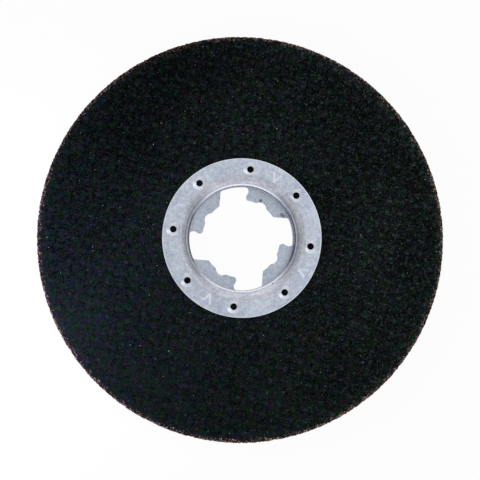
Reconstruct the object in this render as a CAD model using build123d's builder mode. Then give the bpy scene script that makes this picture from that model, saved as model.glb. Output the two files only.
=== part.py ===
import os
from math import acos, asin, atan2, cos, degrees, hypot, radians, sin, tan

from build123d import *

# Cut-off wheel with a pressed steel quick-change hub, lying on the bottom of its hub.
# Millimetres, +Z up along the wheel's axis, origin on the axis at the resting plane.

# Abrasive disc
wheel_diameter = 115.0
wheel_thickness = 1.0
rim_chamfer = 0.2
bore_clearance = 0.15

# Flange ring, the pressing on the upper face, from its lip outwards
lip_margin = 0.25
land_width = 0.75
slope_run = 1.25
flange_width = 5.5
ring_sheet = 0.6
lip_chamfer = 0.26
foot_bend = 0.3
foot_round = 0.6
shoulder_bend = 1.2
shoulder_round = 2.4
edge_chamfer = 0.12

# Pierced holes of the ring, with burrs that bite into the disc
hole_count = 8
hole_margin = 2.975
hole_diameter = 1.9
hole_start_angle = 29.7
dimple_diameter = 4.0
dimple_depth = 0.3
burr_wall = 0.25
burr_length = 0.5
burr_clearance = 0.05

# Triangles stamped between the holes, pointing at the bore
mark_count = 4
mark_start_angle = 52.4
mark_margin = 1.25
mark_length = 3.4
mark_width = 3.3
mark_line = 0.4
mark_depth = 0.15
mark_taper = 45.0

# Locking plate, the pressing on the lower face, as wide as the flange ring
plate_sheet = 1.0
hat_depth = 2.6
lip_overhang = 0.1
mouth_round = 0.15
throat_bend = 0.3
floor_bend = 0.3

# Four-lobed opening in the floor of the plate. Each lobe has a hooked nose on one side
# and a plain flank on the other, and each tab between two lobes has a notch.
lobe_count = 4
bore_diameter = 22.23
lobe_depth = 3.635
nose_offset = 3.14
nose_setback = 3.0
hollow_offset = 4.06
hollow_run = 1.15
hollow_round = 0.5
flank_offset = 3.75
flank_taper = 13.0
lobe_corner = 0.7
nose_round = 0.55
flank_round = 0.35
notch_radius = 1.9
notch_depth = 0.82
notch_round = 0.45

# Levels, from the resting plane upwards
floor_top = plate_sheet
seat_level = floor_top + hat_depth
land_top = seat_level + ring_sheet
wheel_top = seat_level + wheel_thickness
ring_top = wheel_top + ring_sheet

# Radii that follow from the sizes above, from the bore outwards
tab_radius = bore_diameter / 2
lobe_radius = tab_radius + lobe_depth
nose_reach = lobe_radius - nose_setback
hollow_reach = nose_reach + hollow_run
lip_radius = lobe_radius + lip_margin
land_radius = lip_radius + land_width
flange_radius = land_radius + slope_run
hub_radius = flange_radius + flange_width
hole_circle_radius = hub_radius - hole_margin
mark_circle_radius = hub_radius - mark_margin - mark_length / 2
slope_angle = atan2(wheel_thickness, slope_run)
slope_shift = ring_sheet * tan(slope_angle / 2)
bend_start = flange_radius + slope_shift + shoulder_bend * tan(slope_angle / 2)
bore_radius = bend_start + bore_clearance
wall_radius = lip_radius + lip_overhang
hat_radius = wall_radius + plate_sheet
burr_radius = hole_diameter / 2 + burr_wall

os.makedirs("parts", exist_ok=True)


def corner(sketch, across, up):
    """The corner of a sketch at this place."""
    return sketch.vertices().sort_by_distance((across, up))[0]


def flank_height(reach):
    """Distance of the plain flank from the lobe's middle line at this reach."""
    return flank_offset + (lobe_radius - reach) * tan(radians(flank_taper))


# Abrasive disc: a flat ring with blind pits for the burrs
with BuildPart() as abrasive_disc:
    with BuildSketch(Plane.XY.offset(seat_level)):
        Circle(wheel_diameter / 2)
        Circle(bore_radius, mode=Mode.SUBTRACT)
    extrude(amount=wheel_thickness)
    rim_edges = abrasive_disc.edges().filter_by(GeomType.CIRCLE).group_by(SortBy.RADIUS)[-1]
    chamfer(rim_edges, length=rim_chamfer)
    with BuildSketch(Plane.XY.offset(wheel_top)):
        with PolarLocations(hole_circle_radius, hole_count, start_angle=hole_start_angle):
            Circle(burr_radius + burr_clearance)
    extrude(amount=-(burr_length + burr_clearance), mode=Mode.SUBTRACT)

abrasive_disc.part.label = "abrasive_disc"
export_step(abrasive_disc.part, "parts/abrasive_disc.step")

# One stamped triangle, as an outline with its tip towards the bore
with BuildSketch(mode=Mode.PRIVATE) as mark:
    Polygon(
        (-mark_length / 2, 0),
        (mark_length / 2, -mark_width / 2),
        (mark_length / 2, mark_width / 2),
    )
    offset(amount=-mark_line, mode=Mode.SUBTRACT)

# Flange ring: one sheet that runs flat, slopes down through the bore and ends in a land with the lip
with BuildPart() as flange_ring:
    with BuildSketch(Plane.XZ) as ring_profile:
        with BuildLine():
            Polyline(
                (lip_radius, seat_level),
                (lip_radius, land_top),
                (land_radius, land_top),
                (flange_radius, ring_top),
                (hub_radius, ring_top),
                (hub_radius, wheel_top),
                (flange_radius + slope_shift, wheel_top),
                (land_radius + slope_shift, seat_level),
                close=True,
            )
        make_face()
        fillet(corner(ring_profile, land_radius, land_top), radius=foot_bend)
        fillet(corner(ring_profile, land_radius + slope_shift, seat_level), radius=foot_round)
        fillet(corner(ring_profile, flange_radius, ring_top), radius=shoulder_round)
        fillet(corner(ring_profile, flange_radius + slope_shift, wheel_top), radius=shoulder_bend)
        chamfer(corner(ring_profile, lip_radius, land_top), length=lip_chamfer)
        chamfer(corner(ring_profile, hub_radius, ring_top), length=edge_chamfer)
    revolve(axis=Axis.Z)
    with BuildSketch(Plane.XY.offset(wheel_top)):
        with PolarLocations(hole_circle_radius, hole_count, start_angle=hole_start_angle):
            Circle(burr_radius)
    extrude(amount=-burr_length)
    with Locations(Plane.XY.offset(ring_top)):
        with PolarLocations(hole_circle_radius, hole_count, start_angle=hole_start_angle):
            CounterSinkHole(
                radius=hole_diameter / 2,
                counter_sink_radius=dimple_diameter / 2,
                depth=ring_sheet + burr_length,
                counter_sink_angle=2 * degrees(atan2((dimple_diameter - hole_diameter) / 2, dimple_depth)),
            )
    with BuildSketch(Plane.XY.offset(ring_top)):
        with PolarLocations(mark_circle_radius, mark_count, start_angle=mark_start_angle):
            add(mark.sketch)
    extrude(amount=-mark_depth, taper=mark_taper, mode=Mode.SUBTRACT)

flange_ring.part.label = "flange_ring"
export_step(flange_ring.part, "parts/flange_ring.step")

# One lobe, lying along X and running out past the tabs
with BuildSketch(mode=Mode.PRIVATE) as lobe:
    with BuildLine():
        Polyline(
            (tab_radius / 2, flank_height(tab_radius / 2)),
            (tab_radius / 2, -nose_offset),
            (nose_reach, -nose_offset),
            (hollow_reach, -hollow_offset),
            (2 * lobe_radius, -hollow_offset),
            (2 * lobe_radius, flank_height(2 * lobe_radius)),
            close=True,
        )
    make_face()
    Circle(lobe_radius, mode=Mode.INTERSECT)
    rim_corners = lobe.vertices().filter_by(lambda v: hypot(v.X, v.Y) > lobe_radius - 0.001)
    fillet(rim_corners, radius=lobe_corner)
    fillet(corner(lobe, nose_reach, -nose_offset), radius=hollow_round)
    fillet(corner(lobe, hollow_reach, -hollow_offset), radius=hollow_round)

# Corners on the tab circle, as angles from a lobe's middle line, with the notch midway along the tab
lobe_pitch = 360 / lobe_count
taper = radians(flank_taper)
flank_angle = degrees(asin(flank_height(0) * cos(taper) / tab_radius)) - flank_taper
nose_angle = lobe_pitch - degrees(asin(nose_offset / tab_radius))
notch_angle = (flank_angle + nose_angle) / 2
notch_reach = tab_radius + notch_depth - notch_radius
notch_spread = degrees(
    acos((tab_radius**2 + notch_reach**2 - notch_radius**2) / (2 * tab_radius * notch_reach))
)


def tab_corners(sketch, angle):
    """The corner of each tab that stands on the bore circle at this angle."""
    turns = [radians(angle + turn * lobe_pitch) for turn in range(lobe_count)]
    return ShapeList(corner(sketch, tab_radius * cos(turn), tab_radius * sin(turn)) for turn in turns)


# Four-lobed opening: the bore circle with its lobes and notches
with BuildSketch(mode=Mode.PRIVATE) as opening:
    Circle(tab_radius)
    with PolarLocations(0, lobe_count):
        add(lobe.sketch)
    with PolarLocations(notch_reach, lobe_count, start_angle=notch_angle):
        Circle(notch_radius)
    fillet(tab_corners(opening, flank_angle), radius=flank_round)
    fillet(tab_corners(opening, notch_angle - notch_spread), radius=notch_round)
    fillet(tab_corners(opening, notch_angle + notch_spread), radius=notch_round)
    fillet(tab_corners(opening, nose_angle), radius=nose_round)

# Locking plate: a sheet drawn down to a shallow hat, with the opening punched through its floor
with BuildPart() as locking_plate:
    with BuildSketch(Plane.XZ) as plate_profile:
        with BuildLine():
            Polyline(
                (0, 0),
                (hat_radius, 0),
                (hat_radius, seat_level - plate_sheet),
                (hub_radius, seat_level - plate_sheet),
                (hub_radius, seat_level),
                (wall_radius, seat_level),
                (wall_radius, floor_top),
                (0, floor_top),
                close=True,
            )
        make_face()
        fillet(corner(plate_profile, hat_radius, 0), radius=floor_bend + plate_sheet)
        fillet(corner(plate_profile, hat_radius, seat_level - plate_sheet), radius=throat_bend)
        chamfer(corner(plate_profile, hub_radius, seat_level - plate_sheet), length=edge_chamfer)
        fillet(corner(plate_profile, wall_radius, seat_level), radius=mouth_round)
        fillet(corner(plate_profile, wall_radius, floor_top), radius=floor_bend)
    revolve(axis=Axis.Z)
    with BuildSketch():
        add(opening.sketch)
    extrude(amount=floor_top, mode=Mode.SUBTRACT)

locking_plate.part.label = "locking_plate"
export_step(locking_plate.part, "parts/locking_plate.step")
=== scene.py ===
from math import cos, pi, radians, sin

import bpy
import numpy as np
from mathutils import Matrix, Vector
from mathutils.geometry import delaunay_2d_cdt


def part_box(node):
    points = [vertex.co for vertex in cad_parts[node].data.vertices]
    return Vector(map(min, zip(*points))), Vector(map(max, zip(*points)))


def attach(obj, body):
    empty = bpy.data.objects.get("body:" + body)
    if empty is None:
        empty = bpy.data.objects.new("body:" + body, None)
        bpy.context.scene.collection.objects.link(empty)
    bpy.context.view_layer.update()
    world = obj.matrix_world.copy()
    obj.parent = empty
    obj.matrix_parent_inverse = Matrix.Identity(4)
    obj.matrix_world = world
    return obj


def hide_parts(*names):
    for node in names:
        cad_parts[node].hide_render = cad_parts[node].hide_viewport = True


# Cut-off wheel with a pressed steel hub, lying flat and seen from above. Metres throughout,
# and sizes in the dictionaries are in millimetres where their name says so.

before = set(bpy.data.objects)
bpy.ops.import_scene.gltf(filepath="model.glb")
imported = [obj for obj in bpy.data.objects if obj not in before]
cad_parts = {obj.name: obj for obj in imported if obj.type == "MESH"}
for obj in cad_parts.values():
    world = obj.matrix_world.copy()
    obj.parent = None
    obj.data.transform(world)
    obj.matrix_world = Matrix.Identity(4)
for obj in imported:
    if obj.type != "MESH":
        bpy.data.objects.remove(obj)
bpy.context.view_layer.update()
mm = 0.001
print("frame loaded:", ", ".join(sorted(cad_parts)))


class Wire:
    # One socket of a material. Sums on wires add Math nodes, and node() puts in any other node.
    def __init__(self, tree, socket=None):
        self.tree = tree
        self.socket = socket

    def node(self, kind, settings=None, sockets=None, out=0):
        made = self.tree.nodes.new(kind)
        for name, value in (settings or {}).items():
            if name == "stops":
                ramp = made.color_ramp
                while len(ramp.elements) < len(value):
                    ramp.elements.new(0.5)
                for element, (place, color) in zip(ramp.elements, value):
                    element.position = place
                    element.color = color
            else:
                setattr(made, name, value)
        for key, value in (sockets or {}).items():
            if isinstance(value, Wire):
                self.tree.links.new(value.socket, made.inputs[key])
            else:
                made.inputs[key].default_value = value
        return Wire(self.tree, made.outputs[out])

    def other(self, out):
        return Wire(self.tree, self.socket.node.outputs[out])

    def math(self, operation, *values):
        return self.node("ShaderNodeMath", {"operation": operation}, dict(enumerate(values)))

    def __add__(self, value):
        return self.math("ADD", self, value)

    def __radd__(self, value):
        return self.math("ADD", value, self)

    def __sub__(self, value):
        return self.math("SUBTRACT", self, value)

    def __rsub__(self, value):
        return self.math("SUBTRACT", value, self)

    def __mul__(self, value):
        return self.math("MULTIPLY", self, value)

    def __rmul__(self, value):
        return self.math("MULTIPLY", value, self)

    def __truediv__(self, value):
        return self.math("DIVIDE", self, value)

    def __neg__(self):
        return self.math("MULTIPLY", self, -1.0)

    def __abs__(self):
        return self.math("ABSOLUTE", self)

    def larger(self, value):
        return self.math("MAXIMUM", self, value)

    def smaller(self, value):
        return self.math("MINIMUM", self, value)

    def ease(self, low, high):
        # 0 below low, 1 above high, smooth between; low may be the larger of the two
        return self.node(
            "ShaderNodeMapRange",
            {"interpolation_type": "SMOOTHSTEP"},
            {"Value": self, "From Min": low, "From Max": high},
        )

    def noise(self, place, scale, detail=2.0, rough=0.5, out=0):
        return self.node(
            "ShaderNodeTexNoise",
            {"noise_dimensions": "3D"},
            {"Vector": place, "Scale": scale, "Detail": detail, "Roughness": rough},
            out,
        )

    def cells(self, place, scale, out="Distance"):
        return self.node(
            "ShaderNodeTexVoronoi",
            {"feature": "F1", "voronoi_dimensions": "3D"},
            {"Vector": place, "Scale": scale, "Randomness": 1.0},
            out,
        )

    def blend(self, factor, first, second, way="MIX"):
        # colours, with a wire or a plain number as the factor
        return self.node(
            "ShaderNodeMix",
            {"data_type": "RGBA", "blend_type": way},
            {0: factor, 6: first, 7: second},
            2,
        )

    def ramp(self, stops):
        return self.node("ShaderNodeValToRGB", {"stops": stops}, {0: self})


def newFinish(name):
    finish = bpy.data.materials.new(name)
    finish.use_nodes = True
    finish.node_tree.nodes.clear()
    return finish, Wire(finish.node_tree)


def closeFinish(wire, shader):
    made = wire.tree.nodes.new("ShaderNodeOutputMaterial")
    wire.tree.links.new(shader.socket, made.inputs["Surface"])


def paint(red, green, blue):
    # a colour as it reads on screen, 0 to 255, turned into the linear one that a shader takes
    def linear(value):
        part = value / 255
        return part / 12.92 if part <= 0.04045 else ((part + 0.055) / 1.055) ** 2.4

    return (linear(red), linear(green), linear(blue), 1.0)


def fromAxis(spot):
    # how far a point lies from the wheel's axis, in millimetres
    return spot.math("SQRT", spot * spot + spot.other(1) * spot.other(1)) * 1000.0


def towards(spot, turn):
    # how far a point lies from the axis in this direction, in millimetres
    return (spot * cos(radians(turn)) + spot.other(1) * sin(radians(turn))) * 1000.0


# The mesh of glass yarns under the black face shows as a grid of knots and pads. Across is
# counted in yarns of one direction and along in pairs of yarns of the other.
weave = {
    "acrossTurn": 69.24,
    "acrossPitchMm": 3.333,
    "alongTurn": 159.79,
    "alongPitchMm": 7.74,
    "originMm": (-0.663, -0.519),
    # waviness, in pitches, and the lengths and shifts of its waves
    "wobble": (0.045, 0.0225),
    "acrossWaves": (5.3, 1.1, 7.9, -0.6, 13.0),
    "alongWaves": (6.1, 0.4, 8.7, 2.0, 11.0),
    # place of each knot within one pitch, then its strength and half widths
    "bigKnots": ((0.229, 0.411), (0.075, 0.902)),
    "bigKnotMm": (0.46, 0.85),
    "bigStrength": 1.0,
    "smallKnots": ((0.146, 0.146), (0.146, 0.646)),
    "smallKnotMm": (0.34, 0.62),
    "smallStrength": 0.6,
    "yarnPlaces": (0.40, 0.89),
    "yarnMm": 0.75,
    "yarnStrength": 0.7,
    "padPlaces": ((0.62, 0.12), (0.62, 0.62)),
    "padMm": (2.0, 1.9),
    "furrowStrength": 0.8,
}
knotKinds = (
    (weave["bigKnots"], weave["bigKnotMm"], weave["bigStrength"]),
    (weave["smallKnots"], weave["smallKnotMm"], weave["smallStrength"]),
)


def weavePlace(x, y):
    # where a point in millimetres lies on the grid of yarns, with the slight waviness of the real one
    east = x - weave["originMm"][0]
    north = y - weave["originMm"][1]
    a = radians(weave["acrossTurn"])
    b = radians(weave["alongTurn"])
    across = (east * np.cos(a) + north * np.sin(a)) / weave["acrossPitchMm"]
    along = (east * np.cos(b) + north * np.sin(b)) / weave["alongPitchMm"]

    def wave(first, second, slant, lengths):
        near, nearShift, far, farShift, wide = lengths
        return np.sin(first / near + nearShift) * np.cos(second / far + farShift) + np.sin(slant / wide)

    across = across + weave["wobble"][0] * wave(x, y, x - y, weave["acrossWaves"])
    along = along + weave["wobble"][1] * wave(y, x, x + y, weave["alongWaves"])
    return across, along


def folded(value, place):
    # signed distance to the nearest repeat of this place, in repeats
    return (value - place + 0.5) % 1.0 - 0.5


def smoothStep(value, low, high):
    part = np.clip((value - low) / (high - low), 0, 1)
    return part * part * (3 - 2 * part)


def weaveHeight(across, along):
    # 1 on a knot, 0 on a pad, below 0 in the furrows beside the yarns
    height = np.zeros_like(across)
    for places, size, strength in knotKinds:
        for low, far in places:
            du = folded(across, low) * weave["acrossPitchMm"] / size[0]
            dv = folded(along, far) * weave["alongPitchMm"] / size[1]
            height += strength * np.exp(-du * du - dv * dv)
    pad = np.zeros_like(across)
    for low, far in weave["padPlaces"]:
        du = np.abs(folded(across, low)) * weave["acrossPitchMm"] - weave["padMm"][0] / 2
        dv = np.abs(folded(along, far)) * weave["alongPitchMm"] - weave["padMm"][1] / 2
        pad = np.maximum(pad, smoothStep(-np.maximum(du, dv), -0.25, 0.25))
    return height - weave["furrowStrength"] * (1 - pad) * (1 - np.clip(height, 0, 1))


disc = {
    "radiusMm": 57.5,
    "rimSteps": 1200,
    "shoulderMm": 0.38,
    "boreRadiusMm": 17.781,
    "boreSteps": 120,
    "hubEdgeMm": 22.62,
    "hubEdgeSteps": 320,
    # the face between hub and rim: steps to one pitch of the yarns, and room to both edges
    "gridSteps": (7, 16),
    "gridMarginsMm": (0.3, 0.28),
    "reliefMm": 0.055,
    "roughMm": 0.014,
    "fadeMm": (0.05, 0.9),
    "pitCount": 8,
    "pitStart": 29.7,
    "pitCircleMm": 19.525,
    "pitRadiusMm": 1.25,
    "pitSteps": 24,
    "pitDepthMm": 0.55,
    # rows of points down the rim: how far out, how far down, and how uneven
    "rimRowsMm": (
        (0.22, 0.06, 0.012),
        (0.36, 0.2, 0.04),
        (0.38, 0.4, 0.04),
        (0.38, 0.6, 0.04),
        (0.36, 0.8, 0.04),
        (0.22, 0.94, 0.012),
    ),
    # wear of the rim: its depth, the shares of chips, grains and slow waves, and the waves' counts
    "rimRagMm": 0.5,
    "chipShare": 0.55,
    "chipMean": 0.3,
    "grainShare": 0.25,
    "waveShare": 0.15,
    "waveRange": (-0.4, 1.1),
    "waves": ((23, 0.3), (61, 0.3), (147, 0.4), (311, 0.5)),
    "rimGapMm": 0.02,
    "seed": 11,
}


def ringPoints(radius, count, centre=(0.0, 0.0)):
    steps = np.arange(count) * 2 * pi / count
    return np.stack([centre[0] + radius * np.cos(steps), centre[1] + radius * np.sin(steps)], 1)


def pitCentres():
    count, away = disc["pitCount"], disc["pitCircleMm"]
    turns = [radians(disc["pitStart"] + k * 360 / count) for k in range(count)]
    return [np.array([away * cos(turn), away * sin(turn)]) for turn in turns]


def gridPoints(outer):
    # points that follow the yarns, so that knots and furrows keep their shape
    stepsAcross, stepsAlong = disc["gridSteps"]
    a = radians(weave["acrossTurn"])
    b = radians(weave["alongTurn"])
    axes = np.array([[np.cos(a), np.sin(a)], [np.cos(b), np.sin(b)]])
    axes[0] /= weave["acrossPitchMm"]
    axes[1] /= weave["alongPitchMm"]
    reachU = int(outer / weave["acrossPitchMm"]) + 2
    reachV = int(outer / weave["alongPitchMm"]) + 2
    u, v = np.meshgrid(
        np.arange(-reachU * stepsAcross, reachU * stepsAcross + 1) / stepsAcross,
        np.arange(-reachV * stepsAlong, reachV * stepsAlong + 1) / stepsAlong,
        indexing="ij",
    )
    flat = np.stack([u.ravel(), v.ravel()], 1) @ np.linalg.inv(axes).T
    flat = flat + np.array(weave["originMm"])
    reach = np.hypot(flat[:, 0], flat[:, 1])
    inside, outside = disc["gridMarginsMm"]
    return flat[(reach > disc["hubEdgeMm"] + inside) & (reach < outer - outside)]


def layOut(outer):
    # the flat layout of the face: points, triangles, and which triangles lie over a pit
    outlines = [
        ringPoints(outer, disc["rimSteps"]),
        ringPoints(disc["boreRadiusMm"], disc["boreSteps"]),
        ringPoints(disc["hubEdgeMm"], disc["hubEdgeSteps"]),
    ]
    for centre in pitCentres():
        outlines.append(ringPoints(disc["pitRadiusMm"], disc["pitSteps"], centre))
    edges = []
    start = 0
    for line in outlines:
        edges += [(start + i, start + (i + 1) % len(line)) for i in range(len(line))]
        start += len(line)
    spots = np.concatenate(outlines + [gridPoints(outer)])
    made = delaunay_2d_cdt([Vector(p) for p in spots], edges, [], 0, 1e-7, False)
    flat = np.array([tuple(p) for p in made[0]])
    faces = np.array([f for f in made[2]])
    middle = flat[faces].mean(1)
    kept = np.hypot(middle[:, 0], middle[:, 1]) > disc["boreRadiusMm"] * 0.999
    faces, middle = faces[kept], middle[kept]
    overPit = np.zeros(len(faces), bool)
    for centre in pitCentres():
        away = middle - centre
        overPit |= np.hypot(away[:, 0], away[:, 1]) < disc["pitRadiusMm"] * 0.98
    return flat, faces, overPit


def circleIndex(flat, radius, centre=(0.0, 0.0)):
    # the points that lie on this circle, in order of their angle
    away = flat - np.array(centre)
    found = np.where(np.abs(np.hypot(away[:, 0], away[:, 1]) - radius) < 1e-4)[0]
    return found[np.argsort(np.arctan2(away[found, 1], away[found, 0]))]


def bandFaces(first, second):
    # four-sided faces between two closed rows of points
    count = len(first)
    steps = [(i, (i + 1) % count) for i in range(count)]
    return [(first[i], second[i], second[j], first[j]) for i, j in steps]


def makeDisc():
    low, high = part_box("abrasive_disc")
    bottom, top = low.z / mm, high.z / mm
    rng = np.random.RandomState(disc["seed"])
    outer = disc["radiusMm"] - disc["shoulderMm"]
    count = disc["rimSteps"]
    flat, faces, overPit = layOut(outer)
    n = len(flat)

    # both faces, with the relief of the weave and of the grains
    across, along = weavePlace(flat[:, 0], flat[:, 1])
    relief = disc["reliefMm"] * (weaveHeight(across, along) - 1.0)
    relief = relief + rng.uniform(-disc["roughMm"], 0.0, n)
    fromHub = np.hypot(flat[:, 0], flat[:, 1]) - disc["hubEdgeMm"]
    relief = relief * smoothStep(fromHub, *disc["fadeMm"])
    points = [np.column_stack([flat, top + relief]), np.column_stack([flat, bottom - relief])]
    topFaces = [tuple(f) for f in faces[~overPit]]
    lowFaces = [tuple(n + i for i in reversed(f)) for f in faces]

    # rim: rows of grit between the two faces, worn back here and there
    rimTop = circleIndex(flat, outer)
    turns = np.arctan2(flat[rimTop, 1], flat[rimTop, 0])
    rows = [rimTop]
    start = 2 * n
    slow = sum(np.sin(turns * w + rng.uniform(0, 2 * pi)) * s for w, s in disc["waves"])
    slow = np.clip(slow, *disc["waveRange"]) - disc["waveRange"][0]
    chips = rng.uniform(0, 1, count)
    chips = 0.5 * chips + 0.5 * np.roll(chips, 1)
    for out, drop, uneven in disc["rimRowsMm"]:
        worn = disc["chipShare"] * (chips - disc["chipMean"]) + disc["waveShare"] * slow
        worn = worn + disc["grainShare"] * rng.uniform(-0.5, 0.5, count)
        far = outer + out - disc["rimRagMm"] * worn * out / disc["shoulderMm"]
        far = np.minimum(far, disc["radiusMm"] - disc["rimGapMm"])
        height = top - drop + uneven * rng.uniform(-1.0, 1.0, count)
        points.append(np.column_stack([far * np.cos(turns), far * np.sin(turns), height]))
        rows.append(np.arange(start, start + count))
        start += count
    rows.append(rimTop + n)
    wall = []
    for first, second in zip(rows, rows[1:]):
        wall += bandFaces(first, second)

    # bore and blind pits
    bore = circleIndex(flat, disc["boreRadiusMm"])
    wall += bandFaces(bore + n, bore)
    for centre in pitCentres():
        edge = circleIndex(flat, disc["pitRadiusMm"], centre)
        points.append(np.column_stack([flat[edge], np.full(len(edge), top - disc["pitDepthMm"])]))
        deep = np.arange(start, start + len(edge))
        start += len(edge)
        wall += bandFaces(deep, edge)
        wall.append(tuple(deep))

    everything = np.concatenate(points)
    mesh = bpy.data.meshes.new("abrasiveWheel")
    allFaces = [tuple(int(i) for i in f) for f in topFaces + lowFaces + wall]
    mesh.from_pydata([tuple(p * mm) for p in everything], [], allFaces)
    mesh.validate()
    u, v = weavePlace(everything[:, 0], everything[:, 1])
    layer = mesh.uv_layers.new(name="yarns")
    corners = np.zeros(len(mesh.loops), int)
    mesh.loops.foreach_get("vertex_index", corners)
    layer.data.foreach_set("uv", np.stack([u[corners], v[corners]], 1).astype(np.float32).ravel())
    mesh.polygons.foreach_set("use_smooth", [True] * len(mesh.polygons))
    mesh.update()
    made = bpy.data.objects.new("abrasive_wheel", mesh)
    bpy.context.scene.collection.objects.link(made)
    print("disc:", len(mesh.polygons), "faces")
    return made


abrasive = {
    "stops": (
        (0.0, paint(0, 1, 1)),
        (0.4, paint(13, 21, 17)),
        (0.7, paint(26, 36, 31)),
        (1.0, paint(60, 72, 68)),
    ),
    # faint colours that patches of grains add to the black
    "mossPatch": paint(0, 16, 2),
    "plumPatch": paint(12, 5, 18),
    "navyPatch": paint(0, 0, 8),
    "rustPatch": paint(7, 0, 0),
    # bare bond at the rim
    "rimStops": ((0.0, paint(8, 6, 6)), (0.5, paint(58, 45, 40)), (1.0, paint(168, 147, 137))),
    "rustTint": (1.18, 0.82, 0.84, 1),
    "strawTint": (1.02, 1.01, 0.88, 1),
    # colour of the painted shade on one side of the rim
    "rimDark": (0.60, 0.57, 0.53, 1),
    # directions of the painted shade on the rim, of the bolder texture with its painted haze, and of the
    # painted shade on a quarter of the face
    "rimShadeTurn": 150.0,
    "boldTurn": 12.0,
    "darkTurn": 135.0,
    "grainsPerMetre": 2900.0,
    # tones from which single grains glint, look pitted or spark
    "glintFrom": (0.80, 0.95),
    "pitFrom": (0.14, 0.04),
    "sparkFrom": (0.978, 0.988),
    "fineScale": 3300.0,
    "mediumScale": 800.0,
    "broadScale": 40.0,
    "hueScale": 450.0,
    # lumps of resin: how many to one pitch of the yarns, across and along, and where they begin
    "lumpCounts": ((2.6, 3.0), (1.1, 6.4)),
    "lumpFrom": (0.53, 0.64),
    "furrowLevel": 0.48,
    "furrowWidth": (0.055, 0.012),
    # what each thing adds to the tone of the face
    "adds": {
        "own": 0.38,
        "glints": 0.5,
        "pits": -0.32,
        "fine": 1.2,
        "medium": 0.15,
        "broad": 0.34,
        "gaps": -0.18,
        "lumps": 0.10,
        "furrows": -0.17,
        "pads": 0.12,
        "knots": 0.36,
        "sparks": 0.5,
        "outer": 0.20,
        "line": -0.3,
        # the last two add painted haze and painted shade
        "bolder": 0.04,
        "darker": -0.14,
    },
    "meanTone": 0.40,
    "startTone": 0.29,
    # strength of the texture on the axis, and how much it gains towards the bold side
    "texture": (0.88, 0.44),
    "darkFrom": (0.30, 0.75),
    # the face grows paler, then darker in single grains, and the bare bond begins
    "outerMm": (53.5, 57.0),
    "lineMm": (56.3, 56.6),
    "bareMm": (56.65, 56.90),
    "roughness": 0.6,
    "specular": 0.025,
    "bump": 0.35,
    "bumpDepth": 0.0003,
}


def rimShadow(spot, reach):
    # painted shade: the bare bond is darker along one side of the rim
    return (towards(spot, abrasive["rimShadeTurn"]) / reach).ease(-0.1, 0.6)


def weavePattern(wire):
    # knots and pads of the mesh, and lumps of resin with furrows round them, in counts of yarns
    cell = wire.node("ShaderNodeUVMap", {"uv_map": "yarns"})
    across = wire.node("ShaderNodeSeparateXYZ", {}, {0: cell})
    along = across.other(1)

    def near(value, spot):
        return wire.math("FRACT", value - spot + 0.5) - 0.5

    knots = None
    for places, size, strength in knotKinds:
        for low, far in places:
            du = near(across, low) * (weave["acrossPitchMm"] / size[0])
            dv = near(along, far) * (weave["alongPitchMm"] / size[1])
            knot = wire.math("EXPONENT", -(du * du + dv * dv)) * strength
            knots = knot if knots is None else knots + knot
    pads = None
    for low, far in weave["padPlaces"]:
        du = abs(near(across, low)) * weave["acrossPitchMm"] - weave["padMm"][0] / 2
        dv = abs(near(along, far)) * weave["alongPitchMm"] - weave["padMm"][1] / 2
        pad = du.larger(dv).ease(0.45, -0.45)
        pads = pad if pads is None else pads.larger(pad)
    for far in weave["yarnPlaces"]:
        dv = near(along, far) * (weave["alongPitchMm"] / weave["yarnMm"])
        pads = pads.larger(wire.math("EXPONENT", -dv * dv) * weave["yarnStrength"])
    lumps = furrows = None
    for wide, far in abrasive["lumpCounts"]:
        spot = wire.node("ShaderNodeCombineXYZ", {}, {0: across * wide, 1: along * far, 2: wide})
        swell = wire.noise(spot, 1.0, 0.0)
        lump = swell.ease(*abrasive["lumpFrom"])
        furrow = abs(swell - abrasive["furrowLevel"]).ease(*abrasive["furrowWidth"])
        lumps = lump if lumps is None else lumps.larger(lump)
        furrows = furrow if furrows is None else furrows.larger(furrow)
    return knots, pads, lumps, furrows


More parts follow.
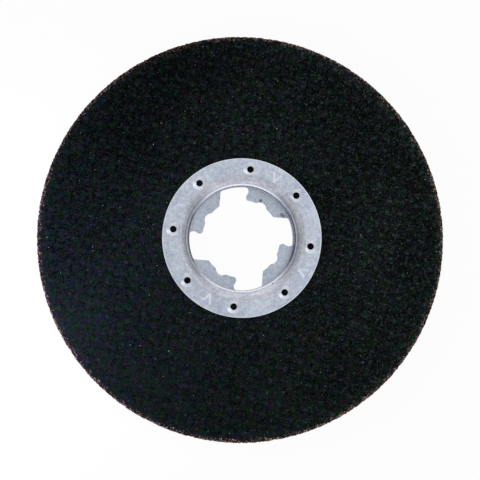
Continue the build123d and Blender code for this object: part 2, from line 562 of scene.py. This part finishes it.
def abrasiveFinish():
    finish, wire = newFinish("blackAbrasive")
    place = wire.node("ShaderNodeTexCoord", out="Object")
    knots, pads, lumps, furrows = weavePattern(wire)

    # every grain has its own tone
    own = wire.cells(place, abrasive["grainsPerMetre"], "Color")
    own = wire.node("ShaderNodeSeparateColor", {}, {0: own})
    second, third = own.other(1), own.other(2)
    gaps = wire.cells(place, abrasive["grainsPerMetre"])
    fine = wire.noise(place, abrasive["fineScale"], 1.0, 0.6) - 0.5
    medium = wire.noise(place, abrasive["mediumScale"], 2.0, 0.55) - 0.5
    broad = wire.noise(place, abrasive["broadScale"], 2.0, 0.5) - 0.5
    spot = wire.node("ShaderNodeSeparateXYZ", {}, {0: place})
    reach = fromAxis(spot)
    glints = own.ease(*abrasive["glintFrom"]) * gaps.ease(0.50, 0.25)
    pits = own.ease(*abrasive["pitFrom"]) * gaps.ease(0.55, 0.30)
    sparks = second.ease(*abrasive["sparkFrom"])
    outer = reach.ease(*abrasive["outerMm"])
    line = reach.ease(*abrasive["lineMm"]) * third.ease(0.4, 0.6)
    adds = abrasive["adds"]
    grain = (own - 0.5) * adds["own"] + glints * adds["glints"] + pits * adds["pits"]
    grain = grain + fine * (1.0 - 0.4 * lumps) * adds["fine"]
    tone = abrasive["startTone"] + grain * (1.06 - 0.6 * knots.smaller(1.0))
    for part, name in (
        (medium, "medium"),
        (broad, "broad"),
        (gaps, "gaps"),
        (lumps, "lumps"),
        (furrows, "furrows"),
        (pads, "pads"),
        (knots, "knots"),
        (sparks, "sparks"),
        (outer, "outer"),
        (line, "line"),
    ):
        tone = tone + part * adds[name]

    # painted haze and painted shade: the texture is bolder and a little paler towards one side of the
    # wheel and fainter and darker on the other, and a quarter of the face is darker
    bolder = towards(spot, abrasive["boldTurn"]) / disc["radiusMm"]
    darker = (towards(spot, abrasive["darkTurn"]) / disc["radiusMm"]).ease(*abrasive["darkFrom"])
    mean, (plain, gain) = abrasive["meanTone"], abrasive["texture"]
    tone = mean + (tone - mean) * (plain + gain * bolder)
    tone = tone + bolder * adds["bolder"] + darker * adds["darker"]
    face = tone.ramp(abrasive["stops"])

    # patches of grains lean to green or violet, and to red or navy
    hue = wire.noise(place, abrasive["hueScale"], 1.0, 0.5, "Color")
    hue = wire.node("ShaderNodeSeparateColor", {}, {0: hue})
    other = hue.other(1)
    lit = tone.ease(0.02, 0.38)
    patch = wire.blend(hue.ease(0.38, 0.62), abrasive["plumPatch"], abrasive["mossPatch"])
    face = wire.blend(lit, face, patch, "ADD")
    patch = wire.blend(other.ease(0.38, 0.62), abrasive["rustPatch"], abrasive["navyPatch"])
    face = wire.blend(lit, face, patch, "ADD")

    # rim: grains of bare brown bond, more of them the nearer they lie to the edge
    edge = (reach + 1.1 * (third - 0.5) + 0.5 * medium).ease(*abrasive["bareMm"])
    bare = (0.02 + 0.90 * own + 1.1 * fine + 0.5 * medium).ramp(abrasive["rimStops"])
    tint = wire.blend(hue.ease(0.50, 0.60), (1, 1, 1, 1), abrasive["rustTint"])
    tint = wire.blend(other.ease(0.50, 0.60), tint, abrasive["strawTint"])
    bare = wire.blend(1.0, bare, tint, "MULTIPLY")
    bare = wire.blend(rimShadow(spot, reach), bare, abrasive["rimDark"], "MULTIPLY")

    height = 0.7 * own + 0.35 * fine + 0.5 * medium - 0.6 * gaps
    relief = wire.node(
        "ShaderNodeBump",
        {},
        {"Strength": abrasive["bump"], "Distance": abrasive["bumpDepth"], "Height": height},
    )
    shader = wire.node(
        "ShaderNodeBsdfPrincipled",
        {},
        {
            "Base Color": wire.blend(edge, face, bare),
            "Roughness": abrasive["roughness"],
            "Specular IOR Level": abrasive["specular"],
            "Normal": relief,
        },
    )
    closeFinish(wire, shader)
    return finish


# loose-looking grains that stand out of the bond, on both faces and round the rim
grit = {
    "face": {
        "innerMm": 22.9,
        "outerMm": 56.9,
        "apartMm": 0.7,
        "perSquareMm": 0.42,
        "sizeMm": (0.09, 0.21),
        "seed": 3,
    },
    "rim": {
        "innerMm": 56.9,
        "outerMm": 60.0,
        "apartMm": 0.22,
        "perSquareMm": 4.2,
        "sizeMm": (0.08, 0.15),
        "seed": 8,
    },
    "flatness": (0.55, 1.0),
    "limitMm": 57.33,
    "bareMm": (56.5, 56.7),
    "stops": (
        (0.0, paint(5, 8, 8)),
        (0.6, paint(24, 31, 32)),
        (0.93, paint(52, 60, 62)),
        (1.0, paint(150, 158, 160)),
    ),
    "rimStops": ((0.0, paint(14, 10, 9)), (0.5, paint(62, 48, 42)), (1.0, paint(168, 148, 138))),
    "noiseScale": 4000.0,
    "roughness": 0.45,
    "specular": 0.05,
}


def gritFinish():
    finish, wire = newFinish("looseGrit")
    shade = wire.node("ShaderNodeAttribute", {"attribute_name": "shade"}, out="Fac")
    place = wire.node("ShaderNodeTexCoord", out="Object")
    spot = wire.node("ShaderNodeSeparateXYZ", {}, {0: place})
    reach = fromAxis(spot)
    tone = shade + 0.15 * (wire.noise(place, grit["noiseScale"]) - 0.5)
    rim = tone.ramp(grit["rimStops"])
    rim = wire.blend(rimShadow(spot, reach), rim, abrasive["rimDark"], "MULTIPLY")
    edge = (reach + 0.9 * (shade - 0.5)).ease(*grit["bareMm"])
    shader = wire.node(
        "ShaderNodeBsdfPrincipled",
        {},
        {
            "Base Color": wire.blend(edge, tone.ramp(grit["stops"]), rim),
            "Roughness": grit["roughness"],
            "Specular IOR Level": grit["specular"],
        },
    )
    closeFinish(wire, shader)
    return finish


def gritTree():
    tree = bpy.data.node_groups.new("scatterGrit", "GeometryNodeTree")
    tree.interface.new_socket("Geometry", in_out="OUTPUT", socket_type="NodeSocketGeometry")
    keys = {}
    for name, kind in (
        ("Wheel", "Geometry"),
        ("Inner", "Float"),
        ("Outer", "Float"),
        ("Apart", "Float"),
        ("Density", "Float"),
        ("Least", "Float"),
        ("Most", "Float"),
        ("Limit", "Float"),
        ("Seed", "Int"),
        ("Finish", "Material"),
    ):
        made = tree.interface.new_socket(name, in_out="INPUT", socket_type="NodeSocket" + kind)
        keys[name] = made.identifier
    given = tree.nodes.new("NodeGroupInput")
    take = {name: Wire(tree, given.outputs[name]) for name in keys}
    wire = Wire(tree)

    # points on the wheel between two radii, drawn in where a grain would stand out past the rim
    spot = wire.node("ShaderNodeSeparateXYZ", {}, {0: wire.node("GeometryNodeInputPosition")})
    reach = wire.math("SQRT", spot * spot + spot.other(1) * spot.other(1))
    chosen = wire.math("GREATER_THAN", reach, take["Inner"])
    chosen = chosen * wire.math("LESS_THAN", reach, take["Outer"])
    points = wire.node(
        "GeometryNodeDistributePointsOnFaces",
        {"distribute_method": "POISSON"},
        {
            "Mesh": take["Wheel"],
            "Selection": chosen,
            "Distance Min": take["Apart"],
            "Density Max": take["Density"],
            "Seed": take["Seed"],
        },
    )
    draw = (take["Limit"] / reach).smaller(1.0)
    drawn = {0: spot * draw, 1: spot.other(1) * draw, 2: spot.other(2)}
    drawn = wire.node("ShaderNodeCombineXYZ", {}, drawn)
    points = wire.node("GeometryNodeSetPosition", {}, {"Geometry": points, "Position": drawn})

    # sockets 0 and 1 hold the limits of a random vector, 2 and 3 those of a number, and 8 its seed
    def anyVector(low, high, seed):
        limits = {0: (low,) * 3, 1: (high,) * 3, 8: seed}
        return wire.node("FunctionNodeRandomValue", {"data_type": "FLOAT_VECTOR"}, limits)

    def anyNumber(low, high, seed):
        limits = {2: low, 3: high, 8: seed}
        return wire.node("FunctionNodeRandomValue", {"data_type": "FLOAT"}, limits, 1)

    grain = wire.node("GeometryNodeMeshIcoSphere", {}, {"Radius": 1.0, "Subdivisions": 1})
    shape = anyVector(*grit["flatness"], 1)
    size = anyNumber(take["Least"], take["Most"], 2)
    shape = wire.node("ShaderNodeVectorMath", {"operation": "SCALE"}, {0: shape, "Scale": size})
    turn = wire.node("FunctionNodeEulerToRotation", {}, {0: anyVector(0, 2 * pi, 3)})
    grains = wire.node(
        "GeometryNodeInstanceOnPoints",
        {},
        {"Points": points, "Instance": grain, "Rotation": turn, "Scale": shape},
    )
    grains = wire.node(
        "GeometryNodeStoreNamedAttribute",
        {"data_type": "FLOAT", "domain": "INSTANCE"},
        {"Geometry": grains, "Name": "shade", "Value": anyNumber(0.0, 1.0, 4)},
    )
    whole = wire.node("GeometryNodeRealizeInstances", {}, {"Geometry": grains})
    whole = wire.node("GeometryNodeSetMaterial", {}, {"Geometry": whole, "Material": take["Finish"]})
    out = tree.nodes.new("NodeGroupOutput")
    tree.links.new(whole.socket, out.inputs["Geometry"])
    return tree, keys


def makeGrit(name, tree, keys, finish, values):
    made = bpy.data.objects.new(name, wheel.data.copy())
    bpy.context.scene.collection.objects.link(made)
    grow = made.modifiers.new("grow", "NODES")
    grow.node_group = tree
    least, most = values["sizeMm"]
    for key, value in (
        ("Inner", values["innerMm"] * mm),
        ("Outer", values["outerMm"] * mm),
        ("Apart", values["apartMm"] * mm),
        ("Density", values["perSquareMm"] / mm / mm),
        ("Least", least * mm),
        ("Most", most * mm),
        ("Limit", grit["limitMm"] * mm),
        ("Seed", values["seed"]),
        ("Finish", finish),
    ):
        grow[keys[key]] = value
    solid = bpy.data.meshes.new_from_object(made.evaluated_get(bpy.context.evaluated_depsgraph_get()))
    made.modifiers.remove(grow)
    made.data = solid
    if not solid.materials:
        solid.materials.append(finish)
    print(name + ":", len(solid.polygons), "faces")
    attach(made, "root")


zinc = {
    "dullColor": paint(154, 164, 181),
    "paleColor": paint(205, 212, 225),
    "stainColor": paint(92, 83, 83),
    "cornerColor": paint(128, 130, 136),
    # colour of the painted highlights on the lip, the dimples, the marks and the outer edge
    "highlightColor": paint(236, 238, 246),
    "landColor": paint(112, 112, 120),
    # painted shade on two sides of the lip's edge
    "lipShadeColor": paint(74, 76, 82),
    "drawnDark": (0.90, 0.86, 0.815, 1),
    "drawnLight": (1.12, 1.08, 1.035, 1),
    # direction of the two sides where the land and the lip get painted shade
    "shadeTurn": -8.1,
    "fineScale": 3000.0,
    "mediumScale": 900.0,
    "broadScale": 160.0,
    # how fast the streaks of the slope change round it and across it
    "streaks": (3.5, 2.4),
    "speckScale": 700.0,
    "speckPatchScale": 300.0,
    # shares of the colours laid over the plating: stains for the specks, painted shade for the land, lip
    # and strokes, dirt and painted shade for the corner, and painted highlights for the dimples, lip and
    # edge
    "landShare": 0.45,
    "speckShare": 0.45,
    "cornerShare": 0.8,
    "lipShadeShare": 0.88,
    "strokeShadeShare": 0.7,
    "dimpleHighlightShare": 0.35,
    "lipHighlightShare": 0.95,
    "edgeHighlightShare": 0.7,
    # how far the rounded outer edge leans up to the light
    "edgeLift": 4.0,
    "roughness": 0.34,
    "bump": 0.08,
    "bumpDepth": 0.0002,
    # a region fades in where the radius and the height pass these pairs of millimetres
    "regions": {
        "slope": {"radii": ((15.6, 16.0), (18.7, 17.7)), "levels": ((3.9, 4.1),)},
        "land": {"radii": ((15.3, 15.45), (16.3, 15.9)), "levels": ((4.0, 4.1),)},
        "lip": {"radii": ((15.4, 15.3),), "levels": ((3.55, 3.65),)},
        "dimples": {"radii": ((17.85, 18.0),), "levels": ((5.199, 5.165), (4.6, 4.8))},
        "roundedEdge": {"radii": ((22.26, 22.36),), "levels": ((5.07, 5.13),)},
    },
    "markTipMm": 17.85,
    "markSlope": 0.485,
    "markInsetMm": 0.22,
    "strokes": (
        # turn of the mark, then how much painted highlight rather than painted shade its strokes get, the
        # one further round first
        (52.4, 1.0, 0.78),
        (142.4, 0.62, 0.58),
        (232.4, 1.0, 0.85),
        (322.4, 0.62, 1.0),
    ),
    "stains": (
        # east, north and size in millimetres, strength
        (7.05, 10.0, 0.54, 0.8),
        (12.5, 5.05, 0.66, 0.6),
        (13.0, 4.7, 0.45, 0.6),
        (-4.47, 12.3, 0.26, 0.8),
        (6.74, -13.97, 0.26, 0.9),
        (-5.8, 19.53, 0.16, 0.8),
        (14.39, 10.48, 0.16, 0.8),
        (17.96, -8.3, 0.16, 0.8),
        (20.92, -7.92, 0.2, 0.8),
        (-13.49, 14.82, 0.15, 0.8),
    ),
}


def zincFinish(name, shade, cornerMm):
    finish, wire = newFinish(name)
    place = wire.node("ShaderNodeTexCoord", out="Object")
    spot = wire.node("ShaderNodeSeparateXYZ", {}, {0: place})
    east, north, up = spot * 1000.0, spot.other(1) * 1000.0, spot.other(2) * 1000.0
    reach = fromAxis(spot)
    around = wire.math("ARCTAN2", north, east)
    # 1 on the two sides where the land and the lip get painted shade, 0 between them
    side = abs(wire.math("COSINE", around - radians(zinc["shadeTurn"])))

    def region(title):
        whole = None
        for measure, pairs in ((reach, "radii"), (up, "levels")):
            for pair in zinc["regions"][title][pairs]:
                part = measure.ease(*pair)
                whole = part if whole is None else whole * part
        return whole

    def shaded(color):
        return tuple(shade * part for part in color[:3]) + (1.0,)

    # mottling of the plating
    fine = wire.noise(place, zinc["fineScale"], 2.0, 0.6) - 0.5
    medium = wire.noise(place, zinc["mediumScale"], 2.0, 0.6) - 0.5
    broad = wire.noise(place, zinc["broadScale"], 2.0, 0.5) - 0.5
    dull = shaded(zinc["dullColor"])
    tone = 0.5 + 1.3 * medium + 1.4 * fine + 0.8 * broad
    color = wire.blend(tone, dull, shaded(zinc["paleColor"]))

    # the drawn slope of the ring is a little warmer, with faint streaks round it
    slope = region("slope")
    turning, outward = zinc["streaks"]
    course = wire.node(
        "ShaderNodeCombineXYZ",
        {},
        {0: east / reach * turning, 1: north / reach * turning, 2: reach * outward},
    )
    streak = wire.noise(course, 1.0, 2.0, 0.6).ease(0.3, 0.7)
    drawn = wire.blend(streak, zinc["drawnDark"], zinc["drawnLight"])
    color = wire.blend(slope, color, drawn, "MULTIPLY")
    # the land next to the lip lies in shade on two sides
    land = region("land") * side.ease(0.55, 0.80) * zinc["landShare"]
    color = wire.blend(land, color, zinc["landColor"])

    # specks and stains
    specks = wire.cells(place, zinc["speckScale"]).ease(0.09, 0.04)
    specks = specks * wire.noise(place, zinc["speckPatchScale"]).ease(0.57, 0.64)
    color = wire.blend(specks * zinc["speckShare"], color, zinc["stainColor"])
    stained = None
    for x, y, size, strength in zinc["stains"]:
        dx = (east - x) / size
        dy = (north - y) / size
        stain = (dx * dx + dy * dy + 1.6 * fine).ease(1.1, 0.3) * strength
        stained = stain if stained is None else stained.larger(stain)
    color = wire.blend(stained, color, zinc["stainColor"])

    # dirt and painted shade in the pressing's inner corner
    corner = (reach + 0.3 * medium).ease(cornerMm, cornerMm + 0.3)
    corner = corner * up.ease(2.4, 1.2) * up.ease(0.2, 0.9)
    color = wire.blend(corner * zinc["cornerShare"], color, zinc["cornerColor"])
    # painted shade and painted highlight: the lip's cut edge is painted dark on two sides and pale on the
    # other two
    lip = region("lip")
    lipShade = lip * side.ease(0.78, 0.95) * zinc["lipShadeShare"]
    color = wire.blend(lipShade, color, zinc["lipShadeColor"])
    # painted highlights: the dimples round the holes are paler, and each stroke of the marks gets a
    # painted highlight or painted shade
    pale = lip * side.ease(0.80, 0.60) * zinc["lipHighlightShare"]
    pale = pale.larger(region("dimples") * zinc["dimpleHighlightShare"])
    for turn, left, right in zinc["strokes"]:
        away = around - radians(turn)
        out, aside = reach * wire.math("COSINE", away), reach * wire.math("SINE", away)
        line = abs(abs(aside) - (out - zinc["markTipMm"]) * zinc["markSlope"] + zinc["markInsetMm"])
        stroke = line.ease(0.40, 0.18) * out.ease(17.9, 18.1) * out.ease(21.0, 20.7)
        stroke = stroke * up.ease(5.0, 5.05)
        strokeLight = aside.ease(-0.1, 0.1) * (left - right) + right
        pale = pale.larger(stroke * strokeLight)
        color = wire.blend(stroke * (1.0 - strokeLight) * zinc["strokeShadeShare"], color, dull)
    # the sheared outer edge is rounded over: it gets a painted highlight, and its normal leans up to catch
    # the light from above
    rounded = region("roundedEdge")
    color = wire.blend(pale.larger(rounded * zinc["edgeHighlightShare"]), color, zinc["highlightColor"])

    height = 0.5 * fine + medium - 0.8 * stained
    relief = wire.node(
        "ShaderNodeBump",
        {},
        {"Strength": zinc["bump"], "Distance": zinc["bumpDepth"], "Height": height},
    )
    lift = wire.node("ShaderNodeCombineXYZ", {}, {2: rounded * zinc["edgeLift"]})
    relief = wire.node("ShaderNodeVectorMath", {"operation": "ADD"}, {0: relief, 1: lift})
    roughness = zinc["roughness"] + 0.12 * medium + 0.25 * stained + 0.12 * lip + 0.14 * slope
    shader = wire.node(
        "ShaderNodeBsdfPrincipled",
        {},
        {
            "Base Color": color,
            "Metallic": 1.0,
            "Roughness": roughness,
            "Normal": wire.node("ShaderNodeVectorMath", {"operation": "NORMALIZE"}, {0: relief}),
        },
    )
    closeFinish(wire, shader)
    return finish


wheel = makeDisc()
wheel.data.materials.append(abrasiveFinish())
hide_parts("abrasive_disc")
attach(wheel, "root")
tree, keys = gritTree()
loose = gritFinish()
makeGrit("face_grit", tree, keys, loose, grit["face"])
makeGrit("rim_grit", tree, keys, loose, grit["rim"])
# node, brightness of its zinc, and the radius beyond which its inner corner gets dirt and painted shade
for node, shade, cornerMm in (("flange_ring", 1.03, 40.0), ("locking_plate", 0.90, 14.8)):
    finish = zincFinish("zinc_" + node, shade, cornerMm)
    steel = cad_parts[node]
    steel.data.materials.clear()
    steel.data.materials.append(finish)
print("materials made")

studio = {
    "floorHalf": 4.0,
    "floorWhite": 0.95,
    "floorColor": (0.8, 0.8, 0.8, 1),
    "worldLight": 0.55,
    # the light falls off to both sides, which only the metal shows
    "sideTurn": -8.1,
    "sideShade": 0.48,
    "sideReach": 0.8,
    "sideWidth": (0.5, 0.92),
    "lamps": (
        # name, place, aim, width, height, watts, colour, seen in metal
        ("back", (0.1, 0.85, 0.16), (0, 0, 0), 1.5, 0.36, 1.6, (1.0, 0.72, 0.75), True),
        ("front", (0.08, -0.85, 0.16), (0, 0, 0), 1.9, 0.36, 1.7, (1.0, 0.72, 0.75), True),
        ("key", (0.5, 0.2, 0.83), (0, 0, 0), 0.3, 0.3, 0.5, (1.0, 1.0, 1.0), True),
        ("left", (-0.092, -0.006, 0.042), (-0.055, -0.004, 0), 0.05, 0.05, 0.13, (0.60, 0.58, 1.0), False),
    ),
}


def seenRays(wire):
    # 1 for what the camera sees, also by way of metal or glass, and the glossy rays by themselves
    path = wire.node("ShaderNodeLightPath", out="Is Camera Ray")
    glossy = path.other("Is Glossy Ray")
    return path.larger(glossy.larger(path.other("Is Transmission Ray"))), glossy


def makeFloor():
    mesh = bpy.data.meshes.new("floor")
    half = studio["floorHalf"]
    corners = [(-half, -half, 0), (half, -half, 0), (half, half, 0), (-half, half, 0)]
    mesh.from_pydata(corners, [], [(0, 1, 2, 3)])
    floor = bpy.data.objects.new("floor", mesh)
    bpy.context.scene.collection.objects.link(floor)
    finish, wire = newFinish("paleFloor")
    seen = seenRays(wire)[0]
    lit = wire.node("ShaderNodeBsdfDiffuse", {}, {"Color": studio["floorColor"]})
    white = wire.node("ShaderNodeEmission", {}, {"Color": (1, 1, 1, 1), "Strength": 1.0})
    mixed = {0: seen * studio["floorWhite"], 1: lit, 2: white}
    closeFinish(wire, wire.node("ShaderNodeMixShader", {}, mixed))
    mesh.materials.append(finish)


def makeWorld():
    world = bpy.data.worlds.new("studio")
    bpy.context.scene.world = world
    world.use_nodes = True
    world.node_tree.nodes.clear()
    air = Wire(world.node_tree)
    seen, glossy = seenRays(air)
    course = air.node("ShaderNodeSeparateXYZ", {}, {0: air.node("ShaderNodeTexCoord", out="Generated")})
    turn = radians(studio["sideTurn"])
    aside = abs(course * cos(turn) + course.other(1) * sin(turn))
    level = air.math("SQRT", (1.0 - course.other(2) * course.other(2)).larger(0.0001))
    fall = (level / studio["sideReach"]).smaller(1.0) * (aside / level).ease(*studio["sideWidth"])
    fall = fall * studio["sideShade"] * glossy
    strength = (seen * (1.0 - studio["worldLight"]) + studio["worldLight"]) * (1.0 - fall)
    sky = air.node("ShaderNodeBackground", {}, {"Color": (1, 1, 1, 1), "Strength": strength})
    out = world.node_tree.nodes.new("ShaderNodeOutputWorld")
    world.node_tree.links.new(sky.socket, out.inputs["Surface"])


def makeLamps():
    for name, spot, aim, width, height, watts, color, inMetal in studio["lamps"]:
        lamp = bpy.data.lights.new(name, "AREA")
        lamp.shape = "RECTANGLE"
        lamp.size, lamp.size_y = width, height
        lamp.energy = watts
        lamp.color = color
        holder = bpy.data.objects.new(name, lamp)
        holder.location = spot
        holder.rotation_mode = "QUATERNION"
        holder.rotation_quaternion = (Vector(aim) - Vector(spot)).to_track_quat("-Z", "Y")
        holder.visible_glossy = inMetal
        holder.visible_camera = False
        bpy.context.scene.collection.objects.link(holder)


shot = {
    "aimMm": (-0.613, -0.483, 4.0),
    "distance": 0.350,
    "lean": 4.99,
    "leanTowards": 217.6,
    "turn": 8.10,
    "lens": 92.93,
}


def makeCamera():
    lean, sideways, turn = (radians(shot[key]) for key in ("lean", "leanTowards", "turn"))
    back = Vector((sin(lean) * cos(sideways), sin(lean) * sin(sideways), cos(lean)))
    right = Vector((cos(turn), -sin(turn), 0))
    right = (right - back * right.dot(back)).normalized()
    upward = back.cross(right)
    data = bpy.data.cameras.new("camera")
    data.sensor_fit = "HORIZONTAL"
    data.sensor_width = 36.0
    data.lens = shot["lens"]
    data.clip_start, data.clip_end = 0.01, 20.0
    camera = bpy.data.objects.new("camera", data)
    spot = Vector(shot["aimMm"]) * mm + back * shot["distance"]
    camera.matrix_world = Matrix(
        (
            (right.x, upward.x, back.x, spot.x),
            (right.y, upward.y, back.y, spot.y),
            (right.z, upward.z, back.z, spot.z),
            (0, 0, 0, 1),
        )
    )
    bpy.context.scene.collection.objects.link(camera)
    bpy.context.scene.camera = camera


makeFloor()
makeWorld()
makeLamps()
makeCamera()
bpy.context.scene.view_settings.view_transform = "Standard"
print("stage and camera made")
